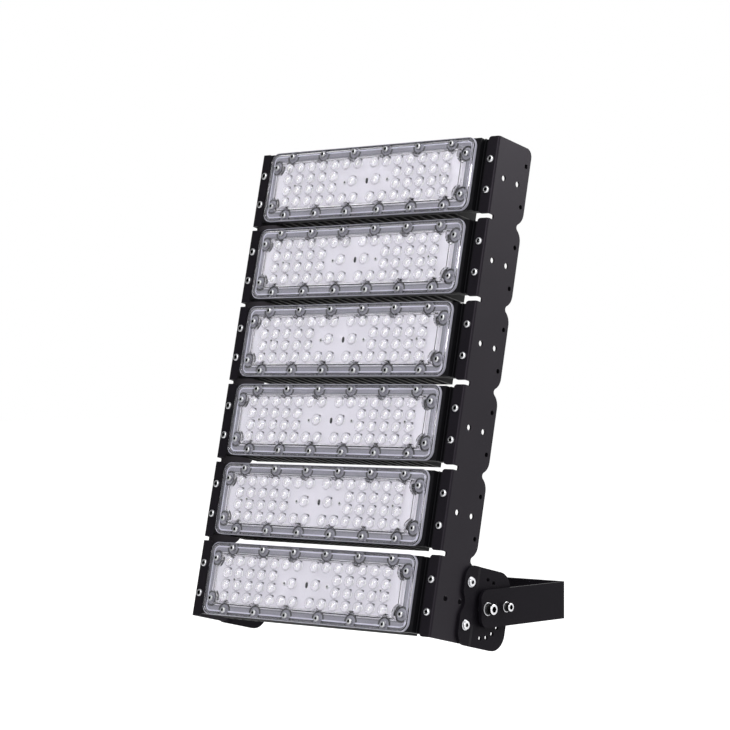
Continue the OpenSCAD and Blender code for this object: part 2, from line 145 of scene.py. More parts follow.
def grid_quads(rows: int, columns: int, wrap_rows: bool = False, wrap_columns: bool = False) -> Array:
    """Joins a grid of points into quads: (i, j), (i, j+1), (i+1, j+1), (i+1, j).

    Args:
        rows: Number of grid rows.
        columns: Number of points in a row.
        wrap_rows: Joins the last row to the first.
        wrap_columns: Joins each row's end to its start.

    Returns:
        Array of shape (quads, 4) of point numbers.
    """
    i, j = np.meshgrid(
        np.arange(rows if wrap_rows else rows - 1),
        np.arange(columns if wrap_columns else columns - 1),
        indexing="ij",
    )
    below, after = (i + 1) % rows, (j + 1) % columns
    corners = [i * columns + j, i * columns + after, below * columns + after, below * columns + j]
    return np.stack(corners, axis=-1).reshape(-1, 4)


def turned(rings: list[tuple[float, ...]], segments: int, flutes: int = 0) -> Surface:
    """Turns a profile about Z and closes it with a pole at each end.

    A point is (r·g·cos t, r·g·sin t, h). With hexagon share s, the factor g goes from 1
    to cos 30° / cos(t mod 60° - 30°), and with flute depth f it loses f·(1 - cos(n·t))/2.

    Args:
        rings: Tuples of radius, height, and if wanted hexagon share, flute depth and
        shade_and_tone darkening, painted shade for the most part, from the lower pole outwards, up and in to the
        upper pole.
        segments: Points round the axis.
        flutes: Number of flutes, n.

    Returns:
        A closed surface, faces outwards.
    """
    table = np.array([tuple(ring) + (0.0,) * (5 - len(ring)) for ring in rings])
    turn = np.linspace(0, 2 * math.pi, segments, endpoint=False)
    sixth = math.pi / 3
    hexagon = math.cos(sixth / 2) / np.cos(np.mod(turn, sixth) - sixth / 2)
    inner = table[1:-1]
    factor = 1 + inner[:, 2:3] * (hexagon - 1) - inner[:, 3:4] * (1 - np.cos(flutes * turn)) / 2
    radius = inner[:, 0:1] * factor
    walls = np.stack(
        [radius * np.cos(turn), radius * np.sin(turn), np.broadcast_to(inner[:, 1:2], radius.shape)], axis=-1
    ).reshape(-1, 3)
    poles = np.array([[0, 0, table[0, 1]], [0, 0, table[-1, 1]]])
    count, j = len(walls), np.arange(segments)
    after, top = (j + 1) % segments, count - segments
    fans = [
        np.stack([np.full(segments, count), after, j], axis=-1),
        np.stack([np.full(segments, count + 1), top + j, top + after], axis=-1),
    ]
    return Surface(
        np.concatenate([walls, poles]),
        grid_quads(len(inner), segments, wrap_columns=True),
        np.concatenate(fans),
        np.concatenate([np.repeat(inner[:, 4], segments), table[[0, -1], 4]]),
    ).outward()


def rounded_rectangle_path(half_w: float, half_h: float, radius: float, steps: int) -> tuple[Array, Array]:
    """Walks round a rectangle whose corners are arcs: corner centre + radius·(cos t, sin t).

    Args:
        half_w: Half the width.
        half_h: Half the height.
        radius: Corner radius.
        steps: Points on each corner.

    Returns:
        The points and their outward unit normals, both of shape (4·steps, 2).
    """
    turn = (np.arange(4)[:, None] * math.pi / 2 + np.linspace(0, math.pi / 2, steps)[None]).ravel()
    normal = np.stack([np.cos(turn), np.sin(turn)], axis=-1)
    signs = np.repeat(np.array([[1, 1], [-1, 1], [-1, -1], [1, -1]]), steps, axis=0)
    return signs * np.array([half_w - radius, half_h - radius]) + radius * normal, normal


def swept_ring(path: Array, normal: Array, profile: Array) -> Surface:
    """Carries a closed profile round a closed flat path: path - d·normal, at height w.

    Args:
        path: Points of shape (n, 2).
        normal: Outward unit normals of shape (n, 2).
        profile: Rows (d, w, shade_and_tone) of shape (m, 3), inward offset, height and darkening, which is painted
            shade in places and a plain darker tone in others.

    Returns:
        A closed ring.
    """
    flat = path[:, None, :] - normal[:, None, :] * profile[None, :, :1]
    height = np.broadcast_to(profile[None, :, 1:2], flat.shape[:2] + (1,))
    points = np.concatenate([flat, height], axis=-1).reshape(-1, 3)
    quads = grid_quads(len(path), len(profile), wrap_rows=True, wrap_columns=True)
    return Surface(points, quads, shade_and_tone=np.tile(profile[:, 2], len(path))).outward()


def smooth(value: Array, start: float, end: float) -> Array:
    """Smooth step from 0 at start to 1 at end, 3t² - 2t³."""
    t = np.clip((value - start) / (end - start), 0, 1)
    return t * t * (3 - 2 * t)


def inside_distance(x: Array, z: Array, half_w: float, half_h: float, radius: float) -> Array:
    """Distance inwards from the edge of a rounded rectangle, negative outside it.

    Args:
        x: Places across.
        z: Places up.
        half_w: Half the width.
        half_h: Half the height.
        radius: Corner radius.

    Returns:
        radius - |max(q, 0)| - min(max(q), 0), where q = |p| - half + radius.
    """
    qx, qz = np.abs(x) - half_w + radius, np.abs(z) - half_h + radius
    beyond = np.hypot(np.maximum(qx, 0), np.maximum(qz, 0))
    return radius - beyond - np.minimum(np.maximum(qx, qz), 0)


def nearest(x: Array, z: Array, places: Array) -> Array:
    """Distance from each point to the nearest of the places."""
    return np.min([np.hypot(x - px, z - pz) for px, pz in places], axis=0)


@dataclass
class Seat:
    """A place with its own axes.

    Args:
        origin: The place in millimetres.
        axes: Three rows, the local axes, right-handed.
    """

    origin: Array
    axes: Array

    def world(self, points: Array) -> Array:
        """Local millimetres to metres in the frame: (origin + p·axes) / 1000."""
        return (self.origin + points @ self.axes) * MM


def box_middle(node: str) -> Array:
    """Middle of a CAD node's box in millimetres."""
    low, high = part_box(node)
    return (np.array(low) + np.array(high)) / 2 / MM


def box_edge(node: str, side: Side) -> float:
    """Outermost X of a CAD node on a side, in millimetres."""
    low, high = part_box(node)
    return (high[0] if side is Side.RIGHT else low[0]) / MM


def placed(name: str, data: bpy.types.ID) -> bpy.types.Object:
    """Makes an object of its data and puts it into the scene."""
    made = bpy.data.objects.new(name, data)
    bpy.context.scene.collection.objects.link(made)
    return made


class LampFrame:
    """Reads the head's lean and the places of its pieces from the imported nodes."""

    board_half_t = 0.8
    tab_front_w = -5.5

    def __init__(self) -> None:
        """Takes the head's upward axis from the lowest to the highest light board."""
        self.right = np.array([1.0, 0.0, 0.0])
        rise = box_middle("light_board_1") - box_middle("light_board_6")
        self.up = rise / np.linalg.norm(rise)
        self.out = np.cross(self.right, self.up)
        self.lean = math.atan2(self.up[1], self.up[2])

    def module(self, number: int) -> Seat:
        """Seat on a heatsink's face: X across, Y up the head, Z outwards."""
        middle = box_middle(f"light_board_{number}")
        return Seat(middle - self.board_half_t * self.out, np.stack([self.right, self.up, self.out]))

    def side(self, node: str, seat_x: float, side: Side, tilted: bool) -> Seat:
        """Seat on a side face, its Z outwards along X.

        Args:
            node: CAD node whose middle gives the height and depth.
            seat_x: Distance of the face from the lamp's middle.
            side: Left or right.
            tilted: True for a piece of the head, false for one of the yoke.

        Returns:
            The seat, with Y up the piece.
        """
        up = self.up if tilted else np.array([0.0, 0.0, 1.0])
        axis = side.value * self.right
        origin = box_middle(node)
        origin[0] = side.value * seat_x
        return Seat(origin, np.stack([np.cross(up, axis), up, axis]))


class Graph:
    """Adds and joins the nodes of one node tree."""

    def __init__(self, tree: Tree) -> None:
        """Keeps the tree that the nodes go into."""
        self.tree = tree

    def add(self, kind: str, inputs: dict[str, object] | None = None, **settings: object) -> bpy.types.Node:
        """Adds a node, with its settings and inputs.

        Args:
            kind: Blender's type name without the ShaderNode prefix.
            inputs: What its inputs take, as for fill.
            **settings: Properties of the node.

        Returns:
            The new node.
        """
        node = self.tree.nodes.new("ShaderNode" + kind)
        for name, value in settings.items():
            setattr(node, name, value)
        self.fill(node, inputs or {})
        return node

    def fill(self, node: bpy.types.Node, inputs: dict[str, object]) -> None:
        """Joins or sets a node's inputs.

        Args:
            node: The node.
            inputs: Socket name or number to a plain value or to a socket to join.
        """
        for name, value in inputs.items():
            if isinstance(value, Socket):
                self.tree.links.new(value, node.inputs[name])
            else:
                node.inputs[name].default_value = value

    def ramp(self, value: Socket, low: float, high: float) -> Socket:
        """Maps a value of 0 to 1 on low to high."""
        return self.add("MapRange", {"Value": value, "To Min": low, "To Max": high}).outputs["Result"]

    def blend(self, share: Socket, dark: tuple, light: tuple) -> Socket:
        """Mixes two colours by a share."""
        node = self.add("Mix", data_type="RGBA")
        self.tree.links.new(share, node.inputs["Factor"])
        for socket, colour in zip([s for s in node.inputs if s.type == "RGBA"], (dark, light)):
            socket.default_value = (*colour, 1.0)
        return next(s for s in node.outputs if s.type == "RGBA")


def fresh_material(name: str) -> tuple[Material, Graph, bpy.types.Node]:
    """Starts a material and returns it with its graph and its shader node."""
    made = bpy.data.materials.new(name)
    made.use_nodes = True
    return made, Graph(made.node_tree), made.node_tree.nodes["Principled BSDF"]


class Effect:
    """Shader node groups that several finishes share, each built once."""

    lines_along = 6.0

    @staticmethod
    def group(name: str, inputs: list[str], outputs: list[str]) -> tuple[Graph, bpy.types.NodeOutputs]:
        """Starts a group with its sockets.

        Args:
            name: The group's name.
            inputs: Input names.
            outputs: Output names.

        Returns:
            A graph for the group's nodes, and the sockets that bring in its inputs.
        """
        tree = bpy.data.node_groups.new(name, "ShaderNodeTree")
        for way, names in (("INPUT", inputs), ("OUTPUT", outputs)):
            for socket in names:
                tree.interface.new_socket(socket, in_out=way, socket_type="NodeSocketFloat")
        return Graph(tree), tree.nodes.new("NodeGroupInput").outputs

    @staticmethod
    def closed(graph: Graph, results: dict[str, bpy.types.Node]) -> Tree:
        """Joins the noises of a group to its outputs and returns the group."""
        graph.fill(graph.tree.nodes.new("NodeGroupOutput"), {name: n.outputs["Fac"] for name, n in results.items()})
        return graph.tree

    @classmethod
    @cache
    def grain(cls) -> Tree:
        """Fine pebbled grain with a slow mottle, as sprayed coats and mouldings have.

        Returns:
            Group of Height, from two octaves of noise, and Mottle, from noise of a few centimetres.
        """
        graph, given = cls.group("pebbled_grain", ["Fineness", "Patch"], ["Height", "Mottle"])
        place = graph.add("TexCoord").outputs["Object"]
        fine = graph.add("TexNoise", {"Vector": place, "Scale": given["Fineness"], "Detail": 2.0})
        slow = graph.add("TexNoise", {"Vector": place, "Scale": given["Patch"], "Detail": 3.0})
        return cls.closed(graph, {"Height": fine, "Mottle": slow})

    @classmethod
    @cache
    def drawn_lines(cls) -> Tree:
        """Long fine lines along the head's height, as an extrusion die leaves.

        Returns:
            Group of Height and Streak, noise stretched along the leaning up axis.
        """
        graph, given = cls.group("drawn_lines", ["Lean", "Across"], ["Height", "Streak"])
        place = graph.add("TexCoord").outputs["Object"]
        turn = graph.add("CombineXYZ", {"X": given["Lean"]}).outputs["Vector"]
        upright = graph.add("Mapping", {"Vector": place, "Rotation": turn}).outputs["Vector"]
        share = {"X": given["Across"], "Y": given["Across"], "Z": cls.lines_along}
        stretch = graph.add("CombineXYZ", share).outputs["Vector"]
        scaled = graph.add("VectorMath", {0: upright, 1: stretch}, operation="MULTIPLY").outputs["Vector"]
        fine, slow = (graph.add("TexNoise", {"Vector": scaled, "Scale": k, "Detail": 2.0}) for k in (1.0, 0.12))
        return cls.closed(graph, {"Height": fine, "Streak": slow})


@dataclass(frozen=True)
class Finish:
    """A solid finish: two close shades mottled by a shared effect, with its bump.

    Args:
        name: The material's name.
        dark: Darker shade, linear.
        light: Lighter shade, linear.
        rough: Lowest and highest roughness.
        specular: Specular level.
        metallic: Metallic share.
        bump: Height of the grain in metres.
        fineness: Grains in a metre.
        patch: Mottles in a metre.
        lines: True for drawn lines in place of grain.
        lean: Lean of the drawn lines in radians.
        sheen: Colour of the reflections.
        toned: True where the pieces carry the shade_and_tone attribute, mostly painted shade, that darkens the
            finish.
    """

    name: str
    dark: Triple
    light: Triple
    rough: Pair
    specular: float = 0.5
    metallic: float = 0.0
    bump: float = 0.00005
    fineness: float = 900.0
    patch: float = 22.0
    lines: bool = False
    lean: float = 0.0
    sheen: Triple = (1.0, 1.0, 1.0)
    toned: bool = False

    @cache
    def material(self) -> Material:
        """Builds the material once and returns it from then on."""
        made, graph, shader = fresh_material(self.name)
        if self.lines:
            tree, values, kind = Effect.drawn_lines(), {"Lean": self.lean, "Across": self.fineness}, "Streak"
        else:
            tree, values, kind = Effect.grain(), {"Fineness": self.fineness, "Patch": self.patch}, "Mottle"
        effect = graph.add("Group", values, node_tree=tree)
        share = effect.outputs[kind]
        bump = graph.add("Bump", {"Height": effect.outputs["Height"], "Strength": 1.0, "Distance": self.bump})
        graph.fill(shader, {
            "Base Color": self.shaded(graph, graph.blend(share, self.dark, self.light)),
            "Roughness": graph.ramp(share, *self.rough), "Normal": bump.outputs["Normal"],
            "Metallic": self.metallic, "Specular IOR Level": self.specular, "Specular Tint": (*self.sheen, 1.0),
        })
        return made

    def shaded(self, graph: Graph, colour: Socket) -> Socket:
        """Darkens a toned colour by the piece's shade_and_tone attribute, colour · (1 - shade_and_tone), which
        paints shade inside sockets, on the seal's pads and in marks beside the domes, and gives plain darker tones
        to the seal's bands and the bolt sides.
        """
        if not self.toned:
            return colour
        shade_and_tone = graph.add("Attribute", attribute_name="shade_and_tone").outputs["Fac"]
        left = graph.add("Math", {0: 1.0, 1: shade_and_tone}, operation="SUBTRACT").outputs[0]
        return graph.add("VectorMath", {0: colour, "Scale": left}, operation="SCALE").outputs["Vector"]


@dataclass(frozen=True)
class ClearFinish(Finish):
    """Clear moulded plastic with a faint lilac cast, darkened to its dark colour as painted shade wherever
    shade_and_tone marks a crease, where it is frosted as well.

    Args:
        ior: Refractive index.
        frost: Roughness that a full shade_and_tone value adds.
    """

    ior: float = 1.5
    frost: float = 0.18

    @cache
    def material(self) -> Material:
        """Builds the material once and returns it from then on."""
        made, graph, shader = fresh_material(self.name)
        values = {"Fineness": self.fineness, "Patch": self.patch}
        effect = graph.add("Group", values, node_tree=Effect.grain())
        # Painted shade: each crease darkens towards the dark colour and is frosted too.
        shade_and_tone = graph.add("Attribute", attribute_name="shade_and_tone").outputs["Fac"]
        bump = graph.add("Bump", {"Height": effect.outputs["Height"], "Strength": 1.0, "Distance": self.bump})
        plain = graph.ramp(effect.outputs["Mottle"], *self.rough)
        rough = graph.add("Math", {0: shade_and_tone, 1: self.frost, 2: plain}, operation="MULTIPLY_ADD").outputs[0]
        graph.fill(shader, {
            "Base Color": graph.blend(shade_and_tone, self.light, self.dark), "Roughness": rough,
            "Normal": bump.outputs["Normal"], "IOR": self.ior, "Transmission Weight": 1.0,
        })
        return made


class Shop:
    """The finishes of this lamp."""

    violet = (0.95, 0.82, 1.0)

    def __init__(self, lean: float) -> None:
        """Mixes each finish; the extrusion lines follow the head's lean."""
        self.coat = Finish(
            "black_powder_coat", (0.0044, 0.0040, 0.0054), (0.0070, 0.0062, 0.0082), (0.42, 0.52),
            specular=0.14, bump=0.00003, fineness=1500.0, sheen=self.violet,
        )
        self.yoke_coat = replace(
            self.coat, name="black_yoke_coat", specular=0.05,
            dark=(0.0030, 0.0027, 0.0038), light=(0.0046, 0.0040, 0.0056),
        )
        self.heatsink = Finish(
            "black_coated_aluminium", (0.0030, 0.0029, 0.0036), (0.0052, 0.0050, 0.0062), (0.42, 0.56),
            specular=0.10, bump=0.00003, fineness=900.0, lines=True, lean=lean,
        )
        # Toned for the painted shade inside the sockets and the darker sides of the knurled heads.
        self.steel = Finish(
            "zinc_plated_steel", (0.52, 0.52, 0.54), (0.67, 0.67, 0.69), (0.26, 0.38),
            metallic=1.0, bump=0.00001, fineness=2200.0, patch=160.0, toned=True,
        )
        self.board = Finish(
            "white_solder_mask", (0.70, 0.685, 0.74), (0.75, 0.73, 0.79), (0.4, 0.55), bump=0.00002, patch=40.0
        )
        # Toned for the seal's darker bands and for the painted shade of its pads and of the marks beside the chips.
        self.gasket = Finish(
            "grey_silicone", (0.57, 0.565, 0.66), (0.63, 0.625, 0.73), (0.55, 0.7),
            bump=0.00002, patch=60.0, toned=True,
        )
        self.nylon = Finish(
            "black_nylon", (0.006, 0.006, 0.007), (0.011, 0.011, 0.012), (0.4, 0.55), specular=0.3, fineness=700.0
        )
        self.phosphor = Finish(
            "pale_phosphor", (0.94, 0.94, 0.93), (0.97, 0.97, 0.96), (0.5, 0.6), bump=0.00002, patch=300.0
        )
        # Its dark colour is the painted shade in the lens's crease lines.
        self.clear = ClearFinish(
            "clear_polycarbonate", (0.42, 0.41, 0.46), (0.985, 0.982, 0.997), (0.03, 0.07),
            bump=0.000003, fineness=260.0, patch=30.0,
        )


def make_piece(
    body: str, name: str, surface: Surface, seat: Seat, finish: Finish,
    stands_for: tuple[str, ...] = (), crease: float = 32.0,
) -> None:
    """Makes one piece in place, dresses it and lets it ride on its body.

    Args:
        body: CAD body that the piece rides on.
        name: The piece's name.
        surface: Its shape in the seat's axes.
        seat: Where it sits.
        finish: What it is made of.
        stands_for: CAD nodes that it replaces.
        crease: Angle in degrees past which an edge is sharp.
    """
    mesh = bpy.data.meshes.new(name)
    faces = surface.quads.tolist() + surface.tris.tolist()
    mesh.from_pydata(seat.world(surface.points).tolist(), [], faces)
    mesh.validate()
    # Painted shade and plain darker tones go into a point attribute that the toned finishes darken by.
    if surface.shade_and_tone.any():
        deep = mesh.attributes.new("shade_and_tone", "FLOAT", "POINT")
        deep.data.foreach_set("value", surface.shade_and_tone.astype(np.float32))
    mesh.shade_smooth()
    mesh.set_sharp_from_angle(angle=math.radians(crease))
    mesh.materials.append(finish.material())
    made = placed(name, mesh)
    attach(made, body)
    if stands_for:
        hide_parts(*stands_for)
    log.info("%s: %d faces on %s", name, len(mesh.polygons), body)


@dataclass
class LensPlate:
    """A moulded lens plate: rim, groove, screw wells, raised field, domes and hollows."""

    half_w: float = 150.0
    half_h: float = 40.0
    corner_r: float = 10.0
    foot_w: float = 0.7
    flange_w: float = 3.7
    rim_w: float = 4.5
    field_w: float = 7.0
    ceiling_w: float = 5.0
    flange: float = 11.0
    field_corner_r: float = 5.0
    lobe_r: float = 7.5
    bevel: float = 1.8
    draft: float = 0.4
    wall: float = 2.0
    well_r: float = 2.1
    well_floor_w: float = 0.9
    dome_r: float = 6.0
    dome_h: float = 3.5
    # Width of the painted shade round each dome's foot.
    crease_w: float = 1.0
    hollow_r: float = 4.6
    hollow_h: float = 0.8
    dome_start: float = 12.4
    dome_pitch: float = 17.4
    outer_row_z: float = 19.95
    inner_row_z: float = 6.65
    middle_dome_x: float = 17.5
    screw_pitch: float = 47.0
    screw_z: float = 34.5
    end_screw_x: float = 139.5
    end_screw_z: float = 22.5
    rim_round: float = 0.8
    rim_drop: float = 0.9
    groove: Pair = (2.2, 2.9)
    well_edge: float = 0.4
    ceiling_run: float = 0.8
    # Painted shade of the lens: its core at the domes' feet, its strength at the rim and on the lobes' walls, and
    # its reach past the lobes.
    crease_core: float = 0.3
    rim_tone: float = 0.8
    lobe_tone: float = 0.9
    lobe_reach: float = 0.2
    columns: int = 334
    straight_rows: int = 67
    corner_rows: int = 12

    def dome_places(self) -> Array:
        """Places of the fifty domes: four rows of columns and a pair in the middle."""
        columns, outer, inner = self.dome_start + self.dome_pitch * np.arange(7), self.outer_row_z, self.inner_row_z
        rows = [(z, columns) for z in (-outer, outer)] + [(z, columns[2:]) for z in (-inner, inner)]
        half = [(x, z) for z, xs in rows for x in xs] + [(self.middle_dome_x, 0.0)]
        return np.array([(side * x, z) for side in (-1, 1) for x, z in half])

    def screw_places(self) -> Array:
        """Places of the sixteen screws: six along each long edge and two at each end."""
        along = [(self.screw_pitch * k, z * self.screw_z) for k in np.arange(-2.5, 3) for z in (-1, 1)]
        return np.array(along + [(x * self.end_screw_x, z * self.end_screw_z) for x in (-1, 1) for z in (-1, 1)])

    def field_distance(self, x: Array, z: Array) -> Array:
        """Distance inside the raised field: a rounded rectangle less a lobe round each screw."""
        plain = inside_distance(x, z, self.half_w - self.flange, self.half_h - self.flange, self.field_corner_r)
        return np.minimum(plain, self.screw_distance(x, z) - self.lobe_r)

    def edge_distance(self, x: Array, z: Array) -> Array:
        """Distance inside the plate's outer edge."""
        return inside_distance(x, z, self.half_w, self.half_h, self.corner_r)

    def dome_distance(self, x: Array, z: Array) -> Array:
        """Distance from the nearest dome's middle."""
        return nearest(x, z, self.dome_places())

    def screw_distance(self, x: Array, z: Array) -> Array:
        """Distance from the nearest screw's middle."""
        return nearest(x, z, self.screw_places())

    def front(self, x: Array, z: Array) -> Array:
        """Height of the front.

        A rounded rim falls to the flange, the field rises from it by a bevel, each screw has
        a well, and each dome is a cap √(R² - r²) - R + h.

        Args:
            x: Places across.
            z: Places up.

        Returns:
            Height over the heatsink's face.
        """
        edge, inner = self.edge_distance(x, z), self.field_distance(x, z)
        screw, dome = self.screw_distance(x, z), self.dome_distance(x, z)
        arc = np.sqrt(1 - (1 - np.clip(edge / self.rim_round, 0, 1)) ** 2)
        height = self.rim_w - self.rim_drop + self.rim_drop * arc
        height = height - (self.rim_w - self.flange_w) * smooth(edge, *self.groove)
        rise = smooth(inner, 0.0, self.bevel)
        height = height * (1 - rise) + self.field_w * rise
        well_end, deep = self.well_r + self.well_edge, self.flange_w - self.well_floor_w
        well = self.well_floor_w + deep * smooth(screw, self.well_r, well_end)
        height = np.where(screw < well_end, np.minimum(height, well), height)
        ball = (self.dome_r**2 + self.dome_h**2) / (2 * self.dome_h)
        cap = np.sqrt(np.maximum(ball**2 - np.minimum(dome, self.dome_r) ** 2, 0)) - ball + self.dome_h
        return height + cap

    def back(self, x: Array, z: Array) -> Array:
        """Height of the back: a flat foot, a step up to the ceiling and a soft hollow h·(1 - d²)² at each dome."""
        dome = self.dome_distance(x, z) / self.hollow_r
        rise = smooth(self.field_distance(x, z), self.wall, self.wall + self.ceiling_run)
        hollow = self.hollow_h * np.maximum(1 - dome**2, 0) ** 2
        return self.foot_w + (self.ceiling_w - self.foot_w) * rise + hollow * rise

    def grid(self) -> tuple[Array, Array]:
        """Points of the plate in plan.

        Rows follow the corner arcs, z = h - r + r·sin t, and each row runs to the outline's
        half width there, h - r + r·cos t, with closer columns at its ends. Points close to a
        step slide square to it, onto it.

        Returns:
            Arrays of x and z, rows by columns.
        """
        bend = np.linspace(0, math.pi / 2, self.corner_rows + 1)[1:]
        top = self.half_h - self.corner_r + self.corner_r * np.sin(bend)
        reach = self.half_w - self.corner_r + self.corner_r * np.cos(bend)
        middle = np.linspace(self.corner_r - self.half_h, self.half_h - self.corner_r, self.straight_rows)
        rows = np.concatenate([-top[::-1], middle, top])
        widths = np.concatenate([reach[::-1], np.full(self.straight_rows, self.half_w), reach])
        edge, start = np.array([[0.0, 0.15, 0.45]]), 0.9
        inner = np.linspace(-1, 1, self.columns)[None, :] * (widths[:, None] - start)
        x = np.concatenate([edge - widths[:, None], inner, widths[:, None] - edge[:, ::-1]], axis=1)
        z = np.broadcast_to(rows[:, None], x.shape).copy()
        return self.snapped(x, z)

    def snapped(self, x: Array, z: Array) -> tuple[Array, Array]:
        """Slides points near a step onto it: p - f·∇f where |f| is under 0.4 mm."""
        steps = [
            (self.field_distance, 0.0), (self.field_distance, self.bevel), (self.dome_distance, self.dome_r),
            (self.screw_distance, self.well_r), *((self.edge_distance, level) for level in self.groove),
        ]
        free = np.zeros(x.shape, bool)
        free[1:-1, 1:-1] = True
        tiny, reach = 0.01, 0.4
        for distance, level in steps:
            off = distance(x, z) - level
            near = free & (np.abs(off) < reach)
            slope_x = (distance(x + tiny, z) - distance(x - tiny, z)) / (2 * tiny)
            slope_z = (distance(x, z + tiny) - distance(x, z - tiny)) / (2 * tiny)
            x, z = np.where(near, x - off * slope_x, x), np.where(near, z - off * slope_z, z)
            free &= ~near
        return x, z

    def surface(self) -> Surface:
        """Front, back and side wall joined into one closed plate, its front drawn in by the draft."""
        x, z = self.grid()
        rows, columns = x.shape
        front = np.stack([x, z, self.front(x, z)], axis=-1).reshape(-1, 3)
        front[:, :2] *= 1 - self.draft / np.array([self.half_w, self.half_h])
        back = np.stack([x, z, self.back(x, z)], axis=-1).reshape(-1, 3)
        count, faces = rows * columns, grid_quads(rows, columns)
        numbers = np.arange(count).reshape(rows, columns)
        rim = np.concatenate([numbers[0, :-1], numbers[:-1, -1], numbers[-1, :0:-1], numbers[:0:-1, 0]])
        after = np.roll(rim, -1)
        wall = np.stack([rim + count, after + count, after, rim], axis=-1)
        quads = np.concatenate([faces, faces[:, ::-1] + count, wall])
        return Surface(np.concatenate([front, back]), quads, shade_and_tone=self.creases(x.ravel(), z.ravel())).outward()

    def creases(self, x: Array, z: Array) -> Array:
        """Painted shade of the front's points and then the back's: at the domes' feet, on the lobes' walls and round
        the rim.
        """
        foot = np.abs(self.dome_distance(x, z) - self.dome_r)
        rim = self.rim_tone * (1 - smooth(self.edge_distance(x, z), self.crease_core, self.crease_w))
        inner, screw, reach = self.field_distance(x, z), self.screw_distance(x, z), self.lobe_reach
        lobe = (inner > -reach) & (inner < self.bevel + reach) & (screw < self.lobe_r + self.bevel + reach)
        front = np.maximum(1 - smooth(foot, self.crease_core, self.crease_w), self.lobe_tone * lobe)
        return np.concatenate([np.maximum(front, rim), rim])


@dataclass
class Fastener:
    """A turned screw or bolt head with a hexagon socket, its washer and its shank.

    Args:
        head_r: Radius of the head.
        head_h: Height of the head.
        crown: Share of the head's height that is domed.
        shank_r: Radius of the shank.
        shank_l: Length of the shank below the seat.
        washer_r: Radius of the washer, or 0.
        washer_t: Thickness of the washer.
        socket: Radius of the socket's corners as a share of the head's radius.
        knurls: Number of knurls round the head.
        side_soot: How much the head's side and the washer are darkened, through shade_and_tone.
    """

    head_r: float
    head_h: float
    crown: float
    shank_r: float
    shank_l: float
    washer_r: float = 0.0
    washer_t: float = 0.0
    socket: float = 0.52
    knurls: int = 0
    side_soot: float = 0.0
    segments: int = 36
    # Painted shade inside the hexagon socket.
    soot: float = 0.985

    def surface(self) -> Surface:
        """Rings from the shank's tip over the washer and the head down into the socket."""
        base, top = self.washer_t, self.washer_t + self.head_h
        edge = self.head_h * self.crown
        bend = np.linspace(0, math.pi / 2, 6)
        flat = self.head_r - min(edge, 0.35 * self.head_r)
        hole = self.socket * self.head_r
        rings: list[tuple[float, ...]] = [(0, -self.shank_l), (self.shank_r * 0.8, -self.shank_l)]
        rings += [(self.shank_r, 0.4 - self.shank_l), (self.shank_r, 0)]
        dull = self.side_soot
        if self.washer_r:
            w, t = self.washer_r, self.washer_t
            rings += [(w - 0.15, 0), (w, 0.15), (w, t - 0.25), (w - 0.25, t), (w - 0.9, t, 0, 0, dull)]
            rings += [(self.head_r - 0.1, t, 0, 0, dull)]
        rings += [(self.head_r - 0.25, base, 0, 0, dull), (self.head_r, base + 0.25, 0, 0, dull)]
        if self.knurls:
            rings += [(self.head_r, z, 0, 0.05, dull) for z in (base + 0.5, top - edge - 0.4)]
            rings += [(self.head_r, top - edge - 0.2, 0, 0, dull)]
        rings += [
            (flat + (self.head_r - flat) * math.cos(t), top - edge + edge * math.sin(t)) for t in bend
        ]
        deep = top - 0.6 * self.head_h
        # The socket's walls and floor carry painted shade.
        rings += [(hole + 0.25, top, 0.6), (hole, top - 0.1, 1.0), (hole, top - 0.25, 1.0, 0, self.soot)]
        rings += [(hole, deep, 1.0, 0, self.soot), (hole * 0.8, deep - 0.1, 1.0, 0, self.soot)]
        rings += [(0, deep - 0.25, 0, 0, self.soot)]
        return turned(rings, self.segments, self.knurls)


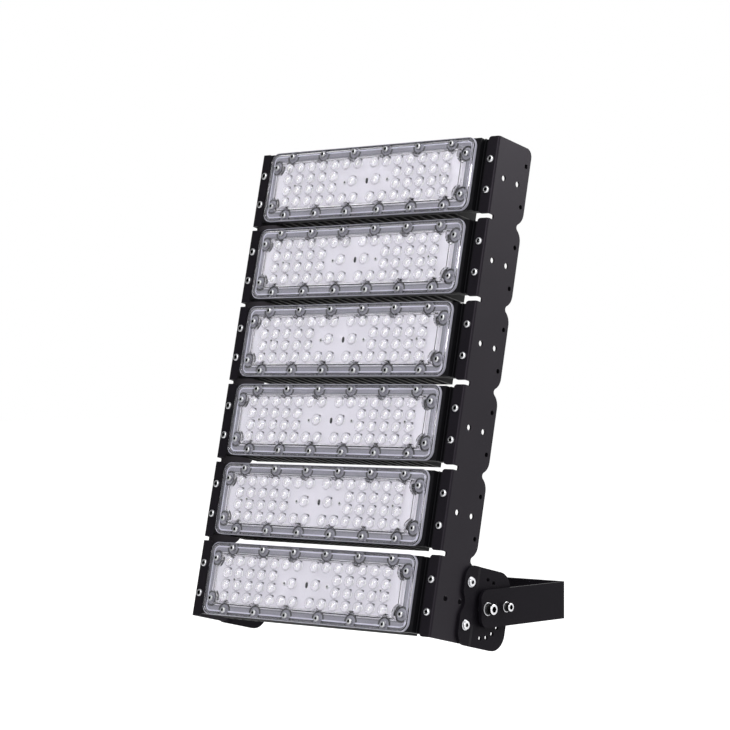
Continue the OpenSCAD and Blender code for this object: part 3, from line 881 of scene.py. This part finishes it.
@dataclass
class LightModule:
    """One module: lens plate, seal, apron, screws, light chips with a dark mark of painted shade beside each, plug
    and gland on a heatsink.
    """

    number: int
    lamp: LampFrame
    shop: Shop
    plate: LensPlate
    chip_r: float = 3.4
    chip_h: float = 0.9
    # Painted shade: a dark mark on the board beside each chip, where the dome above shows its crescent.
    lead_r: float = 5.0
    lead_turn: float = 100.0
    lead_tone: float = 0.80
    lead_half: Pair = (1.5, 3.2)
    pad_r: float = 8.8
    pad_inner_r: float = 6.4
    gasket_inset: float = 0.85
    board_screws: tuple[float, ...] = (-107.5, -31.5, 31.5, 107.5)
    board_top_w: float = 1.6
    gland_seat_w: float = -10.0

    def build(self, lens: Surface) -> None:
        """Makes the module's pieces in place, with the lens plate that all modules share."""
        seat, shop, n = self.lamp.module(self.number), self.shop, self.number
        make_piece(HEAD, f"clear_lens_{n}", lens, seat, shop.clear, (f"lens_{n}",), crease=38.0)
        for name, surface, finish, slot in (
            ("lens_gasket", self.gasket(), shop.gasket, ""),
            ("board_apron", self.apron(), shop.board, "white_board"),
            ("lens_screws", self.screws(), shop.steel, "bolt_steel"),
            ("light_chips", self.chips(), shop.phosphor, "white_board"),
            ("chip_shade_marks", self.leads(), shop.gasket, ""),
            ("board_plug", self.plug(), shop.nylon, "gland_black"),
        ):
            make_piece(HEAD, f"{name}_{n}", surface, seat, finish)
        axes = np.stack([seat.axes[0], -seat.axes[1], -seat.axes[2]])
        across = box_middle(f"cable_gland_{n}")[0]
        rear = Seat(seat.origin + np.array([across, 0, self.gland_seat_w]) @ seat.axes, axes)
        make_piece(HEAD, f"gland_{n}", self.gland(), rear, shop.nylon, (f"cable_gland_{n}",))

    def border(self, rows: list[Triple]) -> Surface:
        """A ring inside the plate's outline, swept from rows of inward offset, height and shade_and_tone darkening.
        """
        path, normal = rounded_rectangle_path(self.plate.half_w, self.plate.half_h, self.plate.corner_r, steps=12)
        return swept_ring(path, normal, np.array(rows))

    def gasket(self) -> Surface:
        """The seal of the lens flange: a lip round its edge, two dark bands, a pale bead and a pad at each screw,
        whose dark ring is painted shade under the lens's lobe.
        """
        low, top, lip, dark, mid, inner, black, pale = 0.03, 0.52, 3.2, 0.80, 0.58, 0.70, 0.96, 0.15
        ring = self.border([
            (-0.4, low, pale), (-0.4, lip, pale), (-0.25, lip + 0.15, pale), (-0.05, lip, pale), (-0.05, top, dark),
            (3.4, top, dark), (3.5, top + 0.1, 0), (4.9, top + 0.1, 0),
            (5.0, top, mid), (8.8, top, mid), (8.9, top, inner), (10.3, top, inner), (10.4, low, inner),
        ])
        pad_r, edge = self.pad_r, self.pad_inner_r
        # The pad's dark ring is painted shade under the lobe of the lens.
        rows = [(0, low, mid), (pad_r, low, black), (pad_r, 0.6, black), (edge + 0.3, 0.6, black)]
        rows += [(edge, 0.64, mid), (2.4, 0.64, mid), (2.2, low + 0.1, mid), (0, low + 0.1, mid)]
        pad = turned([(radius, height, 0, 0, tone) for radius, height, tone in rows], 36)
        pads = pad.copies(np.insert(self.plate.screw_places(), 2, 0.0, axis=1))
        limit = np.array([self.plate.half_w, self.plate.half_h]) - self.gasket_inset
        pads.points[:, :2] = np.clip(pads.points[:, :2], -limit, limit)
        return joined([ring, pads])

    def apron(self) -> Surface:
        """The white sheet between the seal and the light board."""
        return self.border([(10.5, 0.03, 0), (10.5, 0.5, 0), (15.4, 0.5, 0), (15.4, 0.03, 0)])

    def screws(self) -> Surface:
        """Pan-head screws in the lens wells and four flat ones on the board."""
        deep = self.plate.flange_w - self.plate.well_floor_w
        head = Fastener(head_r=3.3, head_h=2.0, crown=0.7, shank_r=1.7, shank_l=deep, segments=24)
        places = np.insert(self.plate.screw_places(), 2, self.plate.flange_w, axis=1)
        small = Fastener(head_r=2.4, head_h=1.2, crown=0.6, shank_r=1.2, shank_l=0.8, segments=18)
        on_board = np.array([(x, 0.0, self.board_top_w) for x in self.board_screws])
        return joined([head.surface().copies(places), small.surface().copies(on_board)])

    def chips(self) -> Surface:
        """Fifty round chips under the domes, each a low cap r·cos t wide and h·sin t high."""
        bend = np.linspace(0, math.pi / 2, 7)
        rings = [(0, 0)] + [(self.chip_r * math.cos(t), self.chip_h * (0.2 + 0.8 * math.sin(t))) for t in bend[:-1]]
        cap = turned(rings + [(0, self.chip_h)], 24)
        return cap.copies(np.insert(self.plate.dome_places(), 2, self.board_top_w, axis=1))

    def leads(self) -> Surface:
        """A dark oval mark of painted shade beside each chip, which the dome above shows as a dark crescent, its
        long axis square to the line from the chip.
        """
        shape = turned([(0, 0), (1, 0), (1, 0.2), (0.8, 0.3), (0, 0.3)], 16)
        turn, (deep, wide) = math.radians(self.lead_turn), self.lead_half
        radial = np.array([math.cos(turn), math.sin(turn)])
        along = np.array([-radial[1], radial[0]])
        flat = self.lead_r * radial + shape.points[:, :1] * deep * radial + shape.points[:, 1:2] * wide * along
        # Painted shade: how dark each mark is.
        dark = np.full(len(flat), self.lead_tone)
        dome_shade_mark = Surface(np.concatenate([flat, shape.points[:, 2:]], axis=1), shape.quads, shape.tris, dark)
        return dome_shade_mark.copies(np.insert(self.plate.dome_places(), 2, self.board_top_w, axis=1))

    def plug(self) -> Surface:
        """A small upright wire plug in the middle of the board, turned round and stretched to an oval."""
        shape = turned([(0, 0), (1, 0), (1, 1.4), (0.85, 1.8), (0, 1.8)], 20)
        stretched = shape.points * np.array([1.1, 3.2, 1.0]) + np.array([1.5, 0.0, self.board_top_w])
        return Surface(stretched, shape.quads, shape.tris)

    def gland(self) -> Surface:
        """A cable gland: chamfered hexagon, fluted round cap, and the entry's seal."""
        flats = 14.0
        corner = flats / math.sqrt(3)
        rings = [(0, 0), (6.8, 0), (corner, 0.8, 1), (corner, 8.2, 1), (6.8, 9.0), (5.7, 9.0), (5.7, 9.6)]
        rings += [(6.0, 9.8, 0, 0.05), (6.0, 12.6, 0, 0.05), (5.7, 13.6), (5.0, 14.3), (4.4, 14.5), (3.9, 14.3)]
        rings += [(3.7, 13.4), (3.5, 13.0), (3.5, 5.2), (3.2, 4.8), (0, 4.6)]
        return turned(rings, 48, flutes=12)


@dataclass
class SideFrame:
    """One side: the rail's tab screws, the plate bolts, and the pivot and lock bolts of the yoke."""

    side: Side
    lamp: LampFrame
    shop: Shop
    rail_half: float = 175.0
    pitch: float = 90.0
    tab_screw_in: float = 8.0
    tab_screw_z: float = 16.9
    plate_bolt_z: float = 22.5
    nut_flats: float = 13.0
    nut_h: float = 6.5

    def build(self) -> None:
        """Makes the side's fasteners in place."""
        label, steel, slot = self.side.label, self.shop.steel, "bolt_steel"
        lowest = self.lamp.module(MODULES[-1])
        make_piece(HEAD, f"{label}_tab_screws", self.tab_screws(), lowest, steel)
        plate_x = abs(box_edge(f"{label}_pivot_plate", self.side))
        arm_x = abs(box_edge("yoke", self.side))
        for name, part, bolts, body, seat_x in (
            ("plate_screws", "plate_bolts", self.plate_bolts(), HEAD, plate_x),
            ("lock_screw", "lock_bolt", self.lock_bolt(), YOKE, arm_x),
            ("pivot_screw", "pivot_bolt", self.pivot_bolt(arm_x), YOKE, arm_x),
        ):
            node = f"{label}_{part}"
            seat = self.lamp.side(node, seat_x, self.side, tilted=body == HEAD)
            make_piece(body, f"{label}_{name}", bolts, seat, steel, (node,))

    def tab_screws(self) -> Surface:
        """Two button-head screws on each of the six tabs, measured from the lowest module."""
        x = self.side.value * (self.rail_half - self.tab_screw_in)
        rows = [self.pitch * k + z for k in range(len(MODULES)) for z in (-self.tab_screw_z, self.tab_screw_z)]
        screw = Fastener(head_r=4.1, head_h=2.4, crown=0.75, shank_r=2.4, shank_l=3.0, socket=0.5, segments=30)
        return screw.surface().copies(np.array([(x, z, self.lamp.tab_front_w) for z in rows]))

    def plate_bolts(self) -> Surface:
        """The two low-headed bolts of a pivot plate, with their washers."""
        bolt = Fastener(
            head_r=4.6, head_h=1.8, crown=0.35, shank_r=2.5, shank_l=6.0, washer_r=5.5, washer_t=0.8, socket=0.5
        )
        return bolt.surface().copies(np.array([(0, z, 0) for z in (-self.plate_bolt_z, self.plate_bolt_z)]))

    @staticmethod
    def lock_bolt() -> Surface:
        """The lock bolt with its knurled head and washer."""
        return Fastener(
            head_r=4.5, head_h=6.0, crown=0.12, shank_r=2.5, shank_l=4.0, washer_r=5.6, washer_t=1.2,
            socket=0.64, knurls=24, side_soot=0.9, segments=96,
        ).surface()

    def pivot_bolt(self, arm_x: float) -> Surface:
        """The pivot bolt with its knurled head, washer and the hexagon nut behind the plate."""
        low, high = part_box(f"{self.side.label}_pivot_bolt")
        length = arm_x - min(abs(low[0]), abs(high[0])) / MM
        bolt = Fastener(
            head_r=5.6, head_h=8.0, crown=0.1, shank_r=4.0, shank_l=length, washer_r=7.0, washer_t=1.2,
            socket=0.64, knurls=30, side_soot=0.9, segments=120,
        ).surface()
        corner, tall = self.nut_flats / math.sqrt(3), self.nut_h
        nut = turned([(0, 0), (6.2, 0), (corner, 0.7, 1), (corner, tall - 0.7, 1), (6.2, tall), (0, tall)], 48)
        return joined([bolt, nut.copies(np.array([(0.0, 0.0, -length)]))])


def dress_cad(shop: Shop) -> None:
    """Gives each CAD node that stays in view its finish, picked by the node's name."""
    wanted = {
        "heatsink": shop.heatsink, "light_board": shop.board, "spacer": shop.nylon,
        "plate": shop.yoke_coat, "yoke": shop.yoke_coat,
    }
    for name, node in sorted(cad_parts.items()):
        finish = next((finish for part, finish in wanted.items() if part in name), shop.coat)
        node.data.materials.clear()
        node.data.materials.append(finish.material())
        log.info("%s: %s", name, finish.name)


def look_matrix(place: Array, ahead: Array, right: Array | None = None) -> Matrix:
    """Matrix of a camera or lamp that looks along a direction.

    Args:
        place: Where it stands.
        ahead: Where it looks.
        right: Its right, level if left out.

    Returns:
        The matrix whose columns are right, up, backwards and the place.
    """
    back = -ahead / np.linalg.norm(ahead)
    across = np.cross(np.array([0.0, 0.0, 1.0]), back) if right is None else right
    across = across / np.linalg.norm(across)
    matrix = np.eye(4)
    matrix[:3, 0], matrix[:3, 1], matrix[:3, 2], matrix[:3, 3] = across, np.cross(back, across), back, place
    return Matrix(matrix.tolist())


def stage_square(name: str, half: float, z: float, material: Material) -> bpy.types.Object:
    """Makes a level square for the stage.

    Args:
        name: Its name.
        half: Half its side, in metres.
        z: Its height, in metres.
        material: Its material.

    Returns:
        The object.
    """
    mesh = bpy.data.meshes.new(name)
    corners = [(x * half, y * half, z) for x, y in ((-1, -1), (1, -1), (1, 1), (-1, 1))]
    mesh.from_pydata(corners, [], [(0, 1, 2, 3)])
    mesh.materials.append(material)
    made = placed(name, mesh)
    return made


@dataclass
class Card:
    """A square that faces a point.

    Args:
        name: Its name.
        place: Its middle, in metres.
        aim: What it faces, in metres.
        size: Its side, in metres.
    """

    name: str
    place: Triple
    aim: Triple
    size: float

    def matrix(self) -> Matrix:
        """Turns -Z towards the aim."""
        return look_matrix(np.array(self.place), np.array(self.aim) - np.array(self.place))


@dataclass
class Softbox(Card):
    """A square area lamp.

    Args:
        power: Watts.
        through_glass: True if its light shows through the clear plates.
    """

    power: float = 0.0
    through_glass: bool = True

    def build(self) -> None:
        """Makes the lamp and hides it from the camera."""
        data = bpy.data.lights.new(self.name, "AREA")
        data.size, data.energy = self.size, self.power
        made = placed(self.name, data)
        made.visible_camera, made.visible_transmission = False, self.through_glass
        made.matrix_world = self.matrix()


@dataclass
class DarkFlag(Card):
    """A black card beside the camera that only reflections see."""

    def build(self) -> None:
        """Makes the card and hides it from all but glossy rays."""
        material, graph, shader = fresh_material("flag_black")
        graph.fill(shader, {"Base Color": (0.0, 0.0, 0.0, 1.0), "Specular IOR Level": 0.0})
        made = stage_square(self.name, self.size / 2, 0.0, material)
        made.matrix_world = self.matrix()
        made.visible_camera = made.visible_diffuse = made.visible_transmission = False
        made.visible_volume_scatter = made.visible_shadow = False


@dataclass
class Studio:
    """White sweep, soft lamps and the camera at the photograph's angle."""

    floor_z: float = -0.16
    floor_half: float = 14.0
    floor_grey: float = 0.55
    floor_glow: float = 0.72
    camera_place: Triple = (1.78181, -2.11003, 0.24894)
    camera_right: Triple = (0.74415037, 0.66800829, -0.0022702)
    camera_ahead: Triple = (-0.66800276, 0.74415362, 0.00277475)
    focal_px: float = 2420.666
    frame_px: float = 730.0
    sensor_mm: float = 36.0
    ambient: float = 0.55

    def build(self) -> None:
        """Sets up the view, world, floor, lamps and camera."""
        bpy.context.scene.view_settings.view_transform = "Standard"
        self.world()
        self.floor()
        middle = (0.0, -0.1, 0.22)
        Softbox("rear_softbox", (1.10, 1.00, 1.15), middle, 0.9, 28.0, through_glass=False).build()
        Softbox("front_softbox", (1.4, -4.45, 3.8), middle, 3.2, 328.0).build()
        DarkFlag("front_flag", (-1.08, -1.18, 0.74), middle, 2.0).build()
        data = bpy.data.cameras.new("photo_camera")
        data.sensor_width = self.sensor_mm
        data.lens = self.focal_px / self.frame_px * self.sensor_mm
        data.clip_start, data.clip_end = 0.05, 60.0
        camera = placed("photo_camera", data)
        place, ahead, right = (np.array(v) for v in (self.camera_place, self.camera_ahead, self.camera_right))
        camera.matrix_world = look_matrix(place, ahead, right)
        bpy.context.scene.camera = camera

    @staticmethod
    def seen_share(graph: Graph) -> Socket:
        """1 for camera, glossy and transmission rays, which see the plain white, and 0 for the rest."""
        path = graph.add("LightPath")
        rays = [path.outputs[f"Is {kind} Ray"] for kind in ("Camera", "Glossy", "Transmission")]
        first = graph.add("Math", {0: rays[0], 1: rays[1]}, operation="MAXIMUM")
        return graph.add("Math", {0: first.outputs[0], 1: rays[2]}, operation="MAXIMUM").outputs[0]

    def world(self) -> None:
        """White for the rays that see it, and a plain level of light for the rest."""
        world = bpy.data.worlds.new("studio_white")
        world.use_nodes = True
        bpy.context.scene.world = world
        graph = Graph(world.node_tree)
        level = graph.ramp(self.seen_share(graph), self.ambient, 1.0)
        graph.fill(world.node_tree.nodes["Background"], {"Color": (1.0, 1.0, 1.0, 1.0), "Strength": level})

    def floor(self) -> None:
        """A pale floor that glows white to the rays that see it and still takes the shadow."""
        material, graph, shader = fresh_material("floor_white")
        nodes = material.node_tree.nodes
        nodes.remove(shader)
        matt = graph.add("BsdfDiffuse", {"Color": (*[self.floor_grey] * 3, 1.0)})
        glow = graph.add("Emission", {"Strength": graph.ramp(self.seen_share(graph), 0.0, self.floor_glow)})
        both = graph.add("AddShader", {0: matt.outputs["BSDF"], 1: glow.outputs["Emission"]})
        graph.fill(nodes["Material Output"], {"Surface": both.outputs["Shader"]})
        stage_square("studio_floor", self.floor_half, self.floor_z, material)


def main() -> None:
    """Builds the studio, the modules, the sides and the finishes in order."""
    lamp = LampFrame()
    shop = Shop(lamp.lean)
    Studio().build()
    plate = LensPlate()
    lens = plate.surface()
    for number in MODULES:
        LightModule(number, lamp, shop, plate).build(lens)
    for side in Side:
        SideFrame(side, lamp, shop).build()
    dress_cad(shop)


if __name__ == "__main__":
    main()
